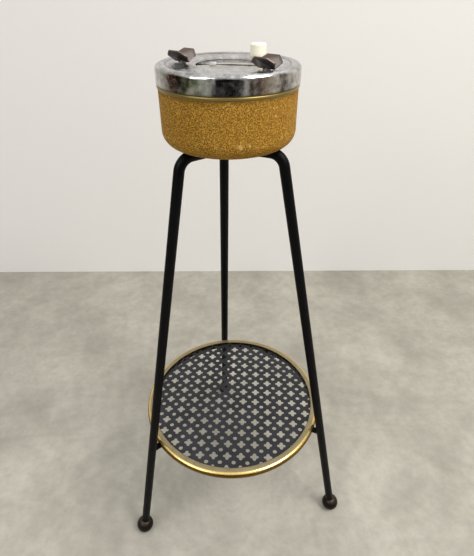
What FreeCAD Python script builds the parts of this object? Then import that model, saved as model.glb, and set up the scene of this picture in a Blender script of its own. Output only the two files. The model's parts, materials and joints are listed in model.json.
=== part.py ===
import FreeCAD, Part
import math
import os

from FreeCAD import Rotation, Vector

# Push-button standing ashtray: a lidded bowl on three splayed rod legs with a perforated shelf.
# Millimetres. The origin is on the floor under the middle of the bowl, +Z is up, and -Y is the
# side between the left and the right leg.

# ---------------------------------------------------------------- driving dimensions: the stand
BOWL_SEAT_HEIGHT = 519.5       # floor to the underside of the bowl
ROD_DIAMETER = 10.0
LEG_SPLAY = 11.5               # degrees between a leg and the vertical
LEG_BEND_RADIUS = 14.0         # on the rod's centre line
LEG_AZIMUTHS = {"left": 210.0, "right": 330.0, "back": 90.0}
ARM_DROP = 0.2                 # the arms stay this far under the bowl, which sits on the hub

FOOT_BALL_DIAMETER = 22.0
FOOT_FLAT_DEPTH = 0.3          # how much of the ball is worn flat where it meets the floor
ROD_DEPTH_IN_BALL = 10.0       # measured along the leg from the ball's top surface

HUB_RADIUS = 13.0
HUB_PAST_ARM = 0.2             # how far the hub reaches below the arms

# ---------------------------------------------------------------- the shelf
SHELF_HEIGHT = 167.0           # floor to the top of the sheet
SHEET_THICKNESS = 1.2
RIM_OUTER_RADIUS = 115.0
RIM_WIDTH = 9.5
RIM_HEIGHT = 10.0
RIM_ABOVE_SHEET = 3.5
RIM_WALL = 0.8
SHEET_IN_RIM = 6.5             # how far the sheet reaches into the rim
LEG_TO_RIM_GAP = 2.2

PERFORATION_PITCH = 16.5
PERFORATION_TURN = -9.2        # degrees about the stand's axis
PERFORATION_SHIFT = (-0.115, -0.322)   # a cross from the shelf's centre, in pitches
CROSS_REACH = 5.2              # centre to the end of an arm
CROSS_ARM_WIDTH = 3.9
DOT_DIAMETER = 5.1
EDGE_MARGIN = 0.8              # metal left between a hole and the sheet's edge

LUG_WIDTH = 7.0
LUG_THICKNESS = 3.0
LUG_UNDER_RIM = 8.0            # how far a lug reaches in under the rim

# ---------------------------------------------------------------- the bowl
BOWL_RADIUS = 59.2             # outside of the wall
BOWL_WALL = 1.0
BOWL_CORNER_RADIUS = 13.0
BEAD_HEIGHT = 48.8             # underside of the bowl to the middle of the bead
BEAD_RADIUS = 1.6
BEAD_PROUD = 0.9               # how far the bead stands out from the wall
NECK_HEIGHT = 9.2              # middle of the bead to the bowl's edge

SCREW_DIAMETER = 6.0
SCREW_HOLE_CLEARANCE = 0.2     # on the radius
SCREW_HEAD_DIAMETER = 11.0
SCREW_HEAD_HEIGHT = 3.2
SCREW_HEAD_ROUND = 1.44
SCREW_SLOT_WIDTH = 1.2
SCREW_SLOT_DEPTH = 1.6
WASHER_DIAMETER = 14.0
WASHER_THICKNESS = 0.9
NUT_ACROSS_FLATS = 10.0
NUT_HEIGHT = 3.2               # a thin nut
SCREW_PAST_NUT = 0.5

# ---------------------------------------------------------------- the lid
LID_TURN = -17.0               # degrees that the lid is turned on the bowl
LID_WALL = 0.8
LID_SIDE_CLEARANCE = 0.3       # between the lid's skirt and the bowl's neck
SKIRT_TO_BEAD = 0.5            # between the skirt's edge and the top of the bead
LID_HEIGHT = 14.5              # skirt's edge to the crest of the lid
SHOULDER_RADIUS = 4.0
CREST_WIDTH = 2.8
CREST_HEIGHT = 0.8             # how far the crest stands above the lid's field
CREST_SLOPE_WIDTH = 1.5

TRAP_RADIUS = 26.7             # the round opening in the lid
TRAP_LEDGE_WIDTH = 1.3
TRAP_DISH_DEPTH = 1.0
TRAP_DISH_WIDTH = 2.0

FLAP_EDGE_GAP = 0.7            # between a flap and the opening
FLAP_SEAM = 0.8                # between the two flaps
FLAP_THICKNESS = 1.0
FLAP_BELOW_LEDGE = 0.2
FLAP_OPENING_ANGLE = 50.0
FLAP_LIP_LENGTH = 6.0          # the bent-up lip on the front flap's seam
FLAP_LIP_HEIGHT = 2.4
FLAP_LIP_EDGE = 0.7            # thickness of its upper edge
FLAP_LIP_DEPTH = 2.6           # from the seam to where it leaves the flap
FLAP_LIP_POSITION = -12.5
FRONT_FLAP_DROP = 0.7          # how far the front flap lies below the back one

HINGE_DROP = 4.6               # the back flap's top to the hinge axis
HINGE_PIN_DIAMETER = 2.5
HINGE_CLEARANCE = 0.05         # on the radius
KNUCKLE_RADIUS = 2.2
KNUCKLE_LENGTH = 5.6
KNUCKLE_GAP = 0.4
KNUCKLES_PER_SIDE = 3
SPRING_SPACE = 6.0             # half of the free length of pin between the middle knuckles

CRANK_REACH = 7.8              # hinge axis to the crank pin
CRANK_THICKNESS = 1.0
CRANK_STRIP_LENGTH = 10.0      # under the flap
CRANK_PIN_DIAMETER = 2.4
CRANK_TO_TRAP = 0.2            # between the crank and the opening's edge, along the hinge

EAR_THICKNESS = 1.2
EAR_WIDTH = 8.0
EAR_FOOT_LENGTH = 6.0
HINGE_BRACKET_GAP = 0.5        # between a bracket and what turns or slides beside it
PIN_HEAD_DIAMETER = 4.0
PIN_HEAD_LENGTH = 1.0

TORSION_WIRE = 0.7
TORSION_TURNS = 9

# ---------------------------------------------------------------- the push button
BUTTON_DIAMETER = 14.0
BUTTON_PROUD = 10.5            # above the lid's field
BUTTON_TRAVEL = 6.0
BUTTON_SEAT_RADIUS = 41.8      # lid's axis to the button's axis
BUTTON_AZIMUTH = 61.7          # in the lid's own frame
BUTTON_SIDE_CLEARANCE = 0.4
BUTTON_EDGE_RADIUS = 1.4
BUTTON_FLANGE_WIDTH = 1.6
BUTTON_FLANGE_THICKNESS = 1.5
BUTTON_STOP_GAP = 0.6          # between the flange and the lid's underside

STEM_DIAMETER = 4.0
STEM_IN_BUTTON = 6.0
STEM_CLEARANCE = 0.05          # on the radius, in the bridge
BRIDGE_DEPTH = 17.2            # lid's underside to the bottom of the bridge
BRIDGE_WIDTH = 10.0
BRIDGE_METAL = 1.0
BRIDGE_CLEARANCE = 1.4         # between the button's flange and the bridge's legs
BRIDGE_FOOT_LENGTH = 5.0
SPRING_WIRE = 0.8
SPRING_RADIUS = 4.6            # of the wire's centre line
SPRING_TURNS = 6
COIL_POINTS = 8                # that a spring's centre line passes through in one turn

PRESSER_METAL = 1.2
PRESSER_FINGER_WIDTH = 2.8
PRESSER_TO_CRANK = 0.3         # above the crank pins
PRESSER_WEB_POSITION = 14.0    # hinge axis to the presser's upright web
PRESSER_PAST_CRANK = 1.4
PRESSER_BOSS_RADIUS = 4.5
PRESSER_GAP = 0.3              # below the bridge
CLIP_RADIUS = 4.0
CLIP_THICKNESS = 0.8
STEM_PAST_CLIP = 1.0

# ---------------------------------------------------------------- the cigarette rests
REST_SEATS = {"left": (37.6, 190.5), "right": (46.5, 320.3)}   # radius, azimuth in the lid's frame
REST_VALLEY_AZIMUTH = -28.0    # direction of both valleys in the lid's frame
REST_METAL = 1.2
REST_WING_RISE = 43.0          # degrees from the horizontal
REST_VALLEY_RADIUS = 0.5       # inside the fold
REST_VALLEY_LENGTH = 15.2
REST_WING_LENGTH = 22.6        # at its longest
REST_WING_LONGEST_AT = 7.4     # along the wing, from where the two wings' planes meet
REST_WING_WIDTH = 13.1         # from the same line to the wing's upper edge
REST_EDGE_LENGTH = 11.0        # of the upper edge
REST_CORNER_RADIUS = 1.8
SADDLE_DIAMETER = 6.4
SADDLE_HEIGHT = 0.9            # under the fold
SADDLE_WRAP = 0.3              # how far its sides come up round the fold
RIVET_DIAMETER = 2.6
RIVET_HEAD_DIAMETER = 3.6
RIVET_HEAD_HEIGHT = 1.2

# ---------------------------------------------------------------- sizes that follow
SPLAY = math.radians(LEG_SPLAY)
ROD_RADIUS = ROD_DIAMETER / 2
BALL_RADIUS = FOOT_BALL_DIAMETER / 2
BALL_HEIGHT = BALL_RADIUS - FOOT_FLAT_DEPTH
ARM_HEIGHT = BOWL_SEAT_HEIGHT - ARM_DROP - ROD_RADIUS
HUB_HEIGHT = ARM_DROP + ROD_DIAMETER + HUB_PAST_ARM
RIM_TOP = SHELF_HEIGHT + RIM_ABOVE_SHEET
RIM_INNER_RADIUS = RIM_OUTER_RADIUS - RIM_WIDTH
SHEET_RADIUS = RIM_INNER_RADIUS + SHEET_IN_RIM
LEG_RADIUS_AT_SHELF = RIM_OUTER_RADIUS + LEG_TO_RIM_GAP + ROD_RADIUS / math.cos(SPLAY)

BEAD_MIDDLE = BOWL_SEAT_HEIGHT + BEAD_HEIGHT
BOWL_EDGE = BEAD_MIDDLE + NECK_HEIGHT
SCREW_HOLE_RADIUS = SCREW_DIAMETER / 2 + SCREW_HOLE_CLEARANCE

SKIRT_INNER_RADIUS = BOWL_RADIUS + LID_SIDE_CLEARANCE
LID_RADIUS = SKIRT_INNER_RADIUS + LID_WALL
SKIRT_EDGE = BEAD_MIDDLE + BEAD_RADIUS + SKIRT_TO_BEAD
LID_CREST = SKIRT_EDGE + LID_HEIGHT
LID_FIELD = LID_CREST - CREST_HEIGHT

# Heights from here on are in the lid's own frame: 0 is the top of its field.
HOLE_BOTTOM = -TRAP_DISH_DEPTH - LID_WALL * 2   # below the lid's deepest metal
FLAP_RADIUS = TRAP_RADIUS - FLAP_EDGE_GAP
BACK_FLAP_TOP = -TRAP_DISH_DEPTH - FLAP_BELOW_LEDGE
FLAP_TOPS = {-1: BACK_FLAP_TOP - FRONT_FLAP_DROP, 1: BACK_FLAP_TOP}
HINGE_HEIGHT = BACK_FLAP_TOP - HINGE_DROP
HINGE_PIN_RADIUS = HINGE_PIN_DIAMETER / 2
CRANK_START = TRAP_RADIUS + CRANK_TO_TRAP
CRANK_PIN_RADIUS = CRANK_PIN_DIAMETER / 2
KNUCKLE_REACH = SPRING_SPACE + KNUCKLES_PER_SIDE * (KNUCKLE_LENGTH + KNUCKLE_GAP)
EAR_START = CRANK_START + CRANK_THICKNESS + HINGE_BRACKET_GAP
EAR_END = EAR_START + EAR_THICKNESS
FINGER_START = EAR_END + PIN_HEAD_LENGTH + HINGE_BRACKET_GAP
FINGER_END = FINGER_START + PRESSER_FINGER_WIDTH
FINGER_BOTTOM = HINGE_HEIGHT + CRANK_PIN_RADIUS + PRESSER_TO_CRANK

BUTTON_RADIUS = BUTTON_DIAMETER / 2
FLANGE_RADIUS = BUTTON_RADIUS + BUTTON_FLANGE_WIDTH
FLANGE_TOP = -LID_WALL - BUTTON_STOP_GAP
BUTTON_BOTTOM = FLANGE_TOP - BUTTON_FLANGE_THICKNESS
BRIDGE_BOTTOM = -LID_WALL - BRIDGE_DEPTH
BRIDGE_TOP_FACE = BRIDGE_BOTTOM + BRIDGE_METAL
PRESSER_TOP = BRIDGE_BOTTOM - PRESSER_GAP
PRESSER_BOTTOM = PRESSER_TOP - PRESSER_METAL
CLIP_BOTTOM = PRESSER_BOTTOM - CLIP_THICKNESS

REST_VALLEY_OUTER_RADIUS = REST_VALLEY_RADIUS + REST_METAL


# ---------------------------------------------------------------- helpers
def polar(radius, azimuth, height=0.0):
    """A point from its distance to the Z axis, its azimuth in degrees and its height."""
    angle = math.radians(azimuth)
    return Vector(radius * math.cos(angle), radius * math.sin(angle), height)


def disc(radius, bottom, top, centre=(0.0, 0.0)):
    """An upright cylinder between two heights."""
    return Part.makeCylinder(radius, top - bottom, Vector(centre[0], centre[1], bottom))


def ring(outer, inner, bottom, top, centre=(0.0, 0.0)):
    """An upright tube between two heights."""
    return disc(outer, bottom, top, centre).cut(disc(inner, bottom, top, centre))


def block(low, high):
    """A box between two corners."""
    low = Vector(*low)
    size = Vector(*high) - low
    return Part.makeBox(size.x, size.y, size.z, low)


def bar_along_x(radius, start, end, y, z):
    """A round bar parallel to X."""
    return Part.makeCylinder(radius, end - start, Vector(start, y, z), Vector(1, 0, 0))


def closed_face(start, steps):
    """A flat face from an outline: each step is an end point, or an arc's middle and end point."""
    edges = []
    here = Vector(*start)
    for step in steps + [(start,)]:
        end = Vector(*step[-1])
        if len(step) == 2:
            edges.append(Part.Arc(here, Vector(*step[0]), end).toShape())
        elif here.distanceToPoint(end) > 1e-6:
            edges.append(Part.makeLine(here, end))
        here = end
    return Part.Face(Part.Wire(edges))


def turned(start, steps):
    """A solid of revolution from an outline of (radius, height) points."""
    def lift(point):
        return (point[0], 0.0, point[1])
    lifted = [tuple(lift(point) for point in step) for step in steps]
    face = closed_face(lift(start), lifted)
    return face.revolve(Vector(0, 0, 0), Vector(0, 0, 1), 360)


def arc_point(centre, radius, degrees):
    """A point on a circle in an outline of (radius, height) points."""
    angle = math.radians(degrees)
    return (centre[0] + radius * math.cos(angle), centre[1] + radius * math.sin(angle))


def coil(wire, radius, turns, length):
    """A helical spring along +Z from 0, with its wire swept along a curve through eight points a turn."""
    steps = turns * COIL_POINTS
    rise = (length - wire) / steps
    points = [polar(radius, 360.0 * step / COIL_POINTS, wire / 2 + rise * step) for step in range(steps + 1)]
    curve = Part.BSplineCurve()
    curve.interpolate(points)
    start = curve.tangent(curve.FirstParameter)[0]
    section = Part.Wire(Part.makeCircle(wire / 2, points[0], start))
    return Part.Wire(curve.toShape()).makePipeShell([section], True, False)


def on_lid(shape):
    """Moves a shape from the lid's own frame to the stand's."""
    placed = shape.copy()
    placed.rotate(Vector(0, 0, 0), Vector(0, 0, 1), LID_TURN)
    placed.translate(Vector(0, 0, LID_FIELD))
    return placed


def together(solids):
    """Separate solids kept in one node."""
    return Part.makeCompound(solids)


# ---------------------------------------------------------------- legs, feet and hub
def leg_radius_at(height):
    """Distance from the stand's axis to the straight part of a leg's centre line."""
    return LEG_RADIUS_AT_SHELF - (height - SHELF_HEIGHT) * math.tan(SPLAY)


def foot_centre(azimuth):
    return polar(leg_radius_at(BALL_HEIGHT), azimuth, BALL_HEIGHT)


def leg_direction(azimuth):
    """Unit vector up along a leg."""
    inward = polar(-math.sin(SPLAY), azimuth)
    return inward + Vector(0, 0, math.cos(SPLAY))


def leg_start(azimuth):
    """Where the rod ends, down inside its ball."""
    return foot_centre(azimuth) + leg_direction(azimuth) * (BALL_RADIUS - ROD_DEPTH_IN_BALL)


def leg(azimuth):
    """A rod from the ball up to the bend, and in under the bowl to the hub."""
    start = leg_start(azimuth)
    up = leg_direction(azimuth)
    inward = polar(-1.0, azimuth)
    corner = polar(leg_radius_at(ARM_HEIGHT), azimuth, ARM_HEIGHT)
    turn = math.pi / 2 - SPLAY
    tangent_length = LEG_BEND_RADIUS * math.tan(turn / 2)
    bend_start = corner - up * tangent_length
    bend_end = corner + inward * tangent_length
    bisector = inward - up
    bisector.normalize()
    bend_centre = corner + bisector * (LEG_BEND_RADIUS / math.cos(turn / 2))
    bend_middle = bend_centre - bisector * LEG_BEND_RADIUS
    path = Part.Wire([
        Part.makeLine(start, bend_start),
        Part.Arc(bend_start, bend_middle, bend_end).toShape(),
        Part.makeLine(bend_end, Vector(0, 0, ARM_HEIGHT)),
    ])
    section = Part.Wire(Part.makeCircle(ROD_RADIUS, start, up))
    rod = path.makePipeShell([section], True, False)
    return rod.cut(hub_blank())


def hub_blank():
    return disc(HUB_RADIUS, BOWL_SEAT_HEIGHT - HUB_HEIGHT, BOWL_SEAT_HEIGHT)


def leg_hub():
    """The boss that the three arms are welded to and the bowl is screwed to."""
    hole = disc(SCREW_HOLE_RADIUS, BOWL_SEAT_HEIGHT - HUB_HEIGHT, BOWL_SEAT_HEIGHT)
    return hub_blank().cut(hole)


def foot(azimuth):
    """A ball, bored for the rod and worn flat underneath."""
    centre = foot_centre(azimuth)
    ball = Part.makeSphere(BALL_RADIUS, centre)
    floor_cut = disc(FOOT_BALL_DIAMETER, -FOOT_BALL_DIAMETER, 0.0, (centre.x, centre.y))
    bore = Part.makeCylinder(ROD_RADIUS, FOOT_BALL_DIAMETER, leg_start(azimuth), leg_direction(azimuth))
    return ball.cut(floor_cut).cut(bore)


# ---------------------------------------------------------------- shelf
def cross_outline():
    """A four-lobed opening: round arm ends joined by round inner corners."""
    half = CROSS_ARM_WIDTH / 2
    shoulder = CROSS_REACH - half
    corner = shoulder - half
    inner = shoulder - corner / math.sqrt(2)
    steps = []
    for quarter in range(4):
        turn = Rotation(Vector(0, 0, 1), 90.0 * quarter)
        for middle, end in (((CROSS_REACH, 0), (shoulder, half)), ((inner, inner), (half, shoulder))):
            steps.append(tuple(tuple(turn.multVec(Vector(x, y, 0))) for x, y in (middle, end)))
    return (shoulder, -half, 0.0), steps


def perforations():
    """One tool for every opening: crosses on a square lattice, and dots between them."""
    start, steps = cross_outline()
    height = 3 * SHEET_THICKNESS
    cross = closed_face(start, steps).extrude(Vector(0, 0, height))
    dot = Part.makeCylinder(DOT_DIAMETER / 2, height)
    count = int(SHEET_RADIUS / PERFORATION_PITCH) + 2
    tools = []
    for column in range(-count, count + 1):
        for row in range(-count, count + 1):
            for tool, shift, reach in ((cross, 0.0, CROSS_REACH), (dot, 0.5, DOT_DIAMETER / 2)):
                x = (column + shift + PERFORATION_SHIFT[0]) * PERFORATION_PITCH
                y = (row + shift + PERFORATION_SHIFT[1]) * PERFORATION_PITCH
                if math.hypot(x, y) + reach + EDGE_MARGIN <= SHEET_RADIUS:
                    opening = tool.copy()
                    opening.translate(Vector(x, y, SHELF_HEIGHT - 2 * SHEET_THICKNESS))
                    tools.append(opening)
    pattern = together(tools)
    pattern.rotate(Vector(0, 0, 0), Vector(0, 0, 1), PERFORATION_TURN)
    return pattern


def shelf_sheet():
    plain = disc(SHEET_RADIUS, SHELF_HEIGHT - SHEET_THICKNESS, SHELF_HEIGHT)
    return plain.cut(perforations())


def shelf_rim():
    """A brass edging, half round outside, folded over the sheet's edge from above and below."""
    round_radius = RIM_HEIGHT / 2
    middle = RIM_TOP - round_radius
    bottom = RIM_TOP - RIM_HEIGHT
    round_start = RIM_OUTER_RADIUS - round_radius
    lip = RIM_INNER_RADIUS + RIM_WALL
    slot_top = SHELF_HEIGHT
    slot_bottom = SHELF_HEIGHT - SHEET_THICKNESS
    return turned((RIM_INNER_RADIUS, slot_top), [
        ((RIM_INNER_RADIUS, RIM_TOP),),
        ((round_start, RIM_TOP),),
        ((RIM_OUTER_RADIUS, middle), (round_start, bottom)),
        ((RIM_INNER_RADIUS, bottom),),
        ((RIM_INNER_RADIUS, slot_bottom),),
        ((lip, slot_bottom),),
        ((lip, bottom + RIM_WALL),),
        ((round_start, bottom + RIM_WALL),),
        ((RIM_OUTER_RADIUS - RIM_WALL, middle), (round_start, RIM_TOP - RIM_WALL)),
        ((lip, RIM_TOP - RIM_WALL),),
        ((lip, slot_top),),
    ])


def shelf_lug(azimuth):
    """A tab under the rim, welded to the inner side of a leg."""
    top = RIM_TOP - RIM_HEIGHT
    inner = RIM_OUTER_RADIUS - LUG_UNDER_RIM
    tab = block((inner, -LUG_WIDTH / 2, top - LUG_THICKNESS),
                (leg_radius_at(top), LUG_WIDTH / 2, top))
    tab.rotate(Vector(0, 0, 0), Vector(0, 0, 1), azimuth)
    rod = Part.makeCylinder(ROD_RADIUS, SHELF_HEIGHT, leg_start(azimuth), leg_direction(azimuth))
    return tab.cut(rod)


# ---------------------------------------------------------------- bowl and its fastening
def bowl():
    """A pressed pot with a round corner, a bead for the lid and a plain neck inside the lid."""
    base = BOWL_SEAT_HEIGHT
    floor = base + BOWL_WALL
    inside = BOWL_RADIUS - BOWL_WALL
    corner = (BOWL_RADIUS - BOWL_CORNER_RADIUS, base + BOWL_CORNER_RADIUS)
    bead = (BOWL_RADIUS + BEAD_PROUD - BEAD_RADIUS, BEAD_MIDDLE)
    bead_half = math.sqrt(BEAD_RADIUS ** 2 - (BEAD_RADIUS - BEAD_PROUD) ** 2)
    return turned((SCREW_HOLE_RADIUS, base), [
        ((corner[0], base),),
        (arc_point(corner, BOWL_CORNER_RADIUS, -45), (BOWL_RADIUS, corner[1])),
        ((BOWL_RADIUS, BEAD_MIDDLE - bead_half),),
        (arc_point(bead, BEAD_RADIUS, 0), (BOWL_RADIUS, BEAD_MIDDLE + bead_half)),
        ((BOWL_RADIUS, BOWL_EDGE),),
        ((inside, BOWL_EDGE),),
        ((inside, corner[1]),),
        (arc_point(corner, BOWL_CORNER_RADIUS - BOWL_WALL, -45), (corner[0], floor)),
        ((SCREW_HOLE_RADIUS, floor),),
    ])


def washer(bottom):
    return ring(WASHER_DIAMETER / 2, SCREW_HOLE_RADIUS, bottom, bottom + WASHER_THICKNESS)


def bowl_washer():
    return washer(BOWL_SEAT_HEIGHT + BOWL_WALL)


def hub_washer():
    return washer(BOWL_SEAT_HEIGHT - HUB_HEIGHT - WASHER_THICKNESS)


def nut_top():
    return BOWL_SEAT_HEIGHT - HUB_HEIGHT - WASHER_THICKNESS


def hub_nut():
    """A hexagon nut under the hub."""
    corner_radius = NUT_ACROSS_FLATS / math.sqrt(3)
    bottom = nut_top() - NUT_HEIGHT
    corners = [polar(corner_radius, 60.0 * side, bottom) for side in range(7)]
    prism = Part.Face(Part.makePolygon(corners)).extrude(Vector(0, 0, NUT_HEIGHT))
    return prism.cut(disc(SCREW_DIAMETER / 2, bottom, nut_top()))


def bowl_screw():
    """A pan-head screw down through the bowl, the hub and the nut."""
    head_bottom = BOWL_SEAT_HEIGHT + BOWL_WALL + WASHER_THICKNESS
    head = disc(SCREW_HEAD_DIAMETER / 2, head_bottom, head_bottom + SCREW_HEAD_HEIGHT)
    top_edge = [edge for edge in head.Edges if edge.BoundBox.ZMin > head_bottom + SCREW_HEAD_HEIGHT / 2]
    head = head.makeFillet(SCREW_HEAD_ROUND, top_edge)
    shank = disc(SCREW_DIAMETER / 2, nut_top() - NUT_HEIGHT - SCREW_PAST_NUT, head_bottom)
    slot_half = SCREW_SLOT_WIDTH / 2
    head_top = head_bottom + SCREW_HEAD_HEIGHT
    slot = block((-SCREW_HEAD_DIAMETER, -slot_half, head_top - SCREW_SLOT_DEPTH),
                 (SCREW_HEAD_DIAMETER, slot_half, head_top + SCREW_HEAD_HEIGHT))
    return head.fuse(shank).cut(slot)


# ---------------------------------------------------------------- lid
def lid_shell():
    """A chromed cap: deep skirt, round shoulder, raised crest and a round trap opening."""
    edge = SKIRT_EDGE - LID_FIELD
    crest = CREST_HEIGHT
    shoulder = (LID_RADIUS - SHOULDER_RADIUS, crest - SHOULDER_RADIUS)
    crest_inner = LID_RADIUS - SHOULDER_RADIUS - CREST_WIDTH
    field_outer = crest_inner - CREST_SLOPE_WIDTH
    ledge_outer = TRAP_RADIUS + TRAP_LEDGE_WIDTH
    field_inner = ledge_outer + TRAP_DISH_WIDTH
    ledge = -TRAP_DISH_DEPTH
    shell = turned((LID_RADIUS, edge), [
        ((LID_RADIUS, shoulder[1]),),
        (arc_point(shoulder, SHOULDER_RADIUS, 45), (shoulder[0], crest)),
        ((crest_inner, crest),),
        ((field_outer, 0.0),),
        ((field_inner, 0.0),),
        ((ledge_outer, ledge),),
        ((TRAP_RADIUS, ledge),),
        ((TRAP_RADIUS, ledge - LID_WALL),),
        ((ledge_outer, ledge - LID_WALL),),
        ((field_inner, -LID_WALL),),
        ((field_outer, -LID_WALL),),
        ((crest_inner, crest - LID_WALL),),
        ((shoulder[0], crest - LID_WALL),),
        (arc_point(shoulder, SHOULDER_RADIUS - LID_WALL, 45), (SKIRT_INNER_RADIUS, shoulder[1])),
        ((SKIRT_INNER_RADIUS, edge),),
    ])
    button_at = button_seat()
    shell = shell.cut(disc(BUTTON_RADIUS + BUTTON_SIDE_CLEARANCE, HOLE_BOTTOM, LID_WALL,
                           (button_at.x, button_at.y)))
    for seat in REST_SEATS.values():
        point = polar(*seat)
        shell = shell.cut(disc(RIVET_DIAMETER / 2, HOLE_BOTTOM, LID_WALL, (point.x, point.y)))
    return shell


# ---------------------------------------------------------------- trap flaps
def half_disc(side):
    """Half of a round plate, on one side of the seam: side is -1 in front and 1 behind."""
    top = FLAP_TOPS[side]
    bottom = top - FLAP_THICKNESS
    plate = disc(FLAP_RADIUS, bottom, top)
    keep = block((-FLAP_RADIUS, FLAP_SEAM / 2, bottom), (FLAP_RADIUS, FLAP_RADIUS, top))
    if side < 0:
        keep = keep.mirror(Vector(0, 0, 0), Vector(0, 1, 0))
    return plate.common(keep)


def knuckle_starts(side):
    """Where each of a flap's knuckles starts along the hinge; the two flaps take turns."""
    starts = []
    for index in range(KNUCKLES_PER_SIDE):
        start = SPRING_SPACE + index * (KNUCKLE_LENGTH + KNUCKLE_GAP)
        owner = -1 if index % 2 == 0 else 1
        starts.append(start if owner == side else -start - KNUCKLE_LENGTH)
    return starts


def crank(side):
    """A strip under the flap that turns down beside the opening and carries the crank pin."""
    far = CRANK_REACH + CRANK_PIN_RADIUS + CRANK_THICKNESS / 2
    near = CRANK_REACH - CRANK_PIN_RADIUS - CRANK_THICKNESS
    top = FLAP_TOPS[side] - FLAP_THICKNESS
    strip = block((CRANK_START - CRANK_STRIP_LENGTH, near, top - CRANK_THICKNESS),
                  (CRANK_START + CRANK_THICKNESS, far, top))
    plate = block((CRANK_START, near, HINGE_HEIGHT - CRANK_PIN_RADIUS - CRANK_THICKNESS / 2),
                  (CRANK_START + CRANK_THICKNESS, far, top))
    bent = strip.fuse(plate).removeSplitter()
    bent = bent.cut(bar_along_x(CRANK_PIN_RADIUS, CRANK_START - 1, CRANK_START + 2, CRANK_REACH, HINGE_HEIGHT))
    if side < 0:
        bent = bent.mirror(Vector(0, 0, 0), Vector(0, 1, 0))
    return bent


def lip():
    """The bent-up lip on the front flap's straight edge."""
    start = FLAP_LIP_POSITION - FLAP_LIP_LENGTH / 2
    seam = -FLAP_SEAM / 2
    top = FLAP_TOPS[-1]
    crest = top + FLAP_LIP_HEIGHT
    face = closed_face((start, seam, top), [
        ((start, seam, crest),),
        ((start, seam - FLAP_LIP_EDGE, crest),),
        ((start, seam - FLAP_LIP_DEPTH, top),),
    ])
    return face.extrude(Vector(FLAP_LIP_LENGTH, 0, 0))


def flap(side):
    """One half of the trap, with its knuckles and its crank."""
    body = half_disc(side)
    for start in knuckle_starts(side):
        end = start + KNUCKLE_LENGTH
        near = side * FLAP_SEAM / 2
        far = side * (FLAP_SEAM / 2 + FLAP_THICKNESS)
        web_top = FLAP_TOPS[side] - FLAP_THICKNESS
        web = block((start, min(near, far), HINGE_HEIGHT), (end, max(near, far), web_top))
        body = body.fuse(web).fuse(bar_along_x(KNUCKLE_RADIUS, start, end, 0, HINGE_HEIGHT))
    body = body.fuse(crank(side))
    if side < 0:
        body = body.fuse(lip())
    bore = bar_along_x(HINGE_PIN_RADIUS + HINGE_CLEARANCE, -KNUCKLE_REACH, KNUCKLE_REACH, 0, HINGE_HEIGHT)
    return body.cut(bore).removeSplitter()


def crank_pin(side):
    """A pin pressed into a crank, which the presser pushes down."""
    return bar_along_x(CRANK_PIN_RADIUS, CRANK_START, FINGER_END, side * CRANK_REACH, HINGE_HEIGHT)


# ---------------------------------------------------------------- trap hinge
def hinge_bracket(end):
    """An angle under the lid that carries one end of the hinge pin."""
    half = EAR_WIDTH / 2
    top = -LID_WALL
    ear = block((EAR_START, -half, HINGE_HEIGHT), (EAR_END, half, top))
    tip = bar_along_x(half, EAR_START, EAR_END, 0, HINGE_HEIGHT)
    foot_plate = block((EAR_START, -half, top - EAR_THICKNESS), (EAR_END + EAR_FOOT_LENGTH, half, top))
    bracket = ear.fuse(tip).fuse(foot_plate).cut(lid_recess_below())
    bracket = bracket.cut(bar_along_x(HINGE_PIN_RADIUS, 0, EAR_END, 0, HINGE_HEIGHT)).removeSplitter()
    if end == "left":
        bracket = bracket.mirror(Vector(0, 0, 0), Vector(1, 0, 0))
    return bracket


def lid_recess_below():
    """The space that the dished ledge takes up under the lid's field."""
    ledge_outer = TRAP_RADIUS + TRAP_LEDGE_WIDTH
    cone = Part.makeCone(ledge_outer, ledge_outer + TRAP_DISH_WIDTH, TRAP_DISH_DEPTH,
                         Vector(0, 0, -TRAP_DISH_DEPTH - LID_WALL))
    return cone


def hinge_pin():
    """A pin through both brackets and all knuckles, with a head peened on each end."""
    end = EAR_END + PIN_HEAD_LENGTH
    pin = bar_along_x(HINGE_PIN_RADIUS, -end, end, 0, HINGE_HEIGHT)
    for start in (-end, EAR_END):
        pin = pin.fuse(bar_along_x(PIN_HEAD_DIAMETER / 2, start, start + PIN_HEAD_LENGTH, 0, HINGE_HEIGHT))
    return pin.removeSplitter()


def flap_spring():
    """The torsion spring's coil, round the middle of the hinge pin."""
    length = 2 * SPRING_SPACE - 2 * KNUCKLE_GAP
    radius = HINGE_PIN_RADIUS + HINGE_CLEARANCE + TORSION_WIRE / 2
    spring = coil(TORSION_WIRE, radius, TORSION_TURNS, length)
    spring.rotate(Vector(0, 0, 0), Vector(0, 1, 0), 90)
    spring.translate(Vector(-length / 2, 0, HINGE_HEIGHT))
    return spring


# ---------------------------------------------------------------- push button
def button_seat():
    return polar(BUTTON_SEAT_RADIUS, BUTTON_AZIMUTH)


def at_button(shape):
    """Moves a shape from the button's axis to the button's seat, turned to face the lid's middle."""
    placed = shape.copy()
    placed.rotate(Vector(0, 0, 0), Vector(0, 0, 1), BUTTON_AZIMUTH)
    placed.translate(button_seat())
    return placed


def button():
    """A plastic plunger with a rounded top edge and a flange that stops under the lid."""
    cap = disc(BUTTON_RADIUS, BUTTON_BOTTOM, BUTTON_PROUD)
    top_edges = [edge for edge in cap.Edges if edge.BoundBox.ZMin > BUTTON_PROUD / 2]
    cap = cap.makeFillet(BUTTON_EDGE_RADIUS, top_edges)
    cap = cap.fuse(disc(FLANGE_RADIUS, BUTTON_BOTTOM, FLANGE_TOP))
    bore = disc(STEM_DIAMETER / 2, BUTTON_BOTTOM, BUTTON_BOTTOM + STEM_IN_BUTTON)
    return at_button(cap.cut(bore).removeSplitter())


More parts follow.
